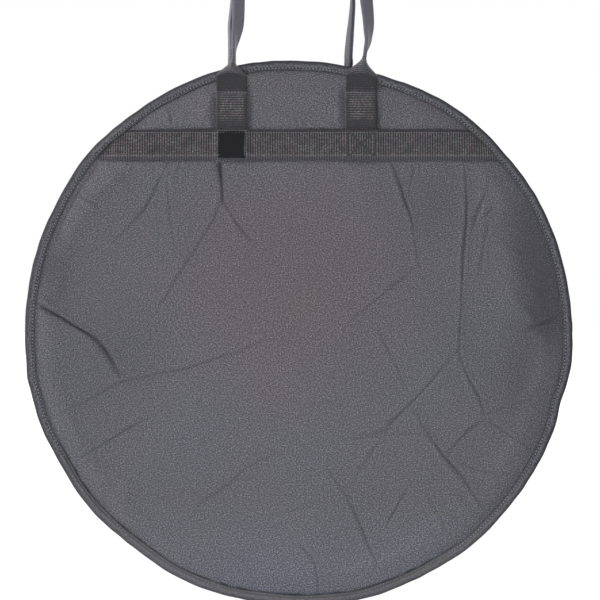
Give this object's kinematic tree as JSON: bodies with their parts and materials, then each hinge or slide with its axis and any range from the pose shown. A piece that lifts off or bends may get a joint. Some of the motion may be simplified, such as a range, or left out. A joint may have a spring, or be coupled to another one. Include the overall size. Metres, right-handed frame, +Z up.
{
  "type": "gong bag",
  "caption": "Round padded bag for a flat gong, with bound edges, a zip over the top half, a front flap that folds down, and two webbing loop handles.",
  "frame": {"origin": "the point under both handle arches where a hook or hand carries the bag", "axes": "+Z up, away from the disc and through the handles; the front panel faces -Y and the back panel +Y"},
  "size_m": [0.548, 0.0448, 0.7086],
  "materials": {
    "cover_cloth": "plain woven polyester, matt with a fine fleck",
    "foam": "open cell foam",
    "lining_cloth": "thin plain nylon",
    "binding_tape": "fine ribbed edge tape",
    "webbing": "ribbed polypropylene webbing",
    "zip_tape": "fine woven tape",
    "zip_teeth": "moulded, satin",
    "slider_metal": "dark lacquered zinc",
    "label_satin": "bare black satin"
  },
  "bodies": {
    "bag": {"back_cover": "cover_cloth", "back_padding": "foam", "back_lining": "lining_cloth", "back_binding": "binding_tape", "right_back_tape": "zip_tape", "left_back_tape": "zip_tape", "back_zip_teeth": "zip_teeth", "back_cross_strap": "webbing", "back_left_leg": "webbing", "back_right_leg": "webbing", "gusset": "cover_cloth", "lower_front_cover": "cover_cloth", "lower_front_padding": "foam", "lower_front_lining": "lining_cloth", "lower_front_binding": "binding_tape", "right_zip_tail": "zip_tape", "left_zip_tail": "zip_tape", "right_tail_teeth": "zip_teeth", "left_tail_teeth": "zip_teeth", "right_zip_stop": "slider_metal", "left_zip_stop": "slider_metal"},
    "flap": {"flap_cover": "cover_cloth", "flap_padding": "foam", "flap_lining": "lining_cloth", "flap_binding": "binding_tape", "right_flap_tape": "zip_tape", "left_flap_tape": "zip_tape", "flap_zip_teeth": "zip_teeth", "front_cross_strap": "webbing", "front_left_leg": "webbing", "front_right_leg": "webbing", "label": "label_satin"},
    "front_handle": {"front_handle": "webbing"},
    "back_handle": {"back_handle": "webbing"},
    "zip_slider": {"slider_body": "slider_metal"},
    "zip_pull": {"pull_tab": "slider_metal"}
  },
  "joints": [
    {"name": "flap_fold", "type": "hinge", "parent": "bag", "child": "flap", "pos_m": [0.002, -0.019, -0.419], "axis": [1, 0, 0], "range_deg": [0, 110]},
    {"name": "front_handle_bend", "type": "hinge", "parent": "flap", "child": "front_handle", "pos_m": [0, -0.01909, -0.192], "axis": [1, 0, 0], "range_deg": [0, 160]},
    {"name": "back_handle_bend", "type": "hinge", "parent": "bag", "child": "back_handle", "pos_m": [0, 0.01909, -0.192], "axis": [-1, 0, 0], "range_deg": [0, 160]},
    {"name": "zip_run", "type": "hinge", "parent": "bag", "child": "zip_slider", "pos_m": [0.002, 0, -0.431], "axis": [0, -1, 0], "range_deg": [0, 180.6]},
    {"name": "pull_swing", "type": "hinge", "parent": "zip_slider", "child": "zip_pull", "pos_m": [0.26948, 0, -0.43453], "axis": [0, -1, 0], "range_deg": [0, 150]}
  ]
}
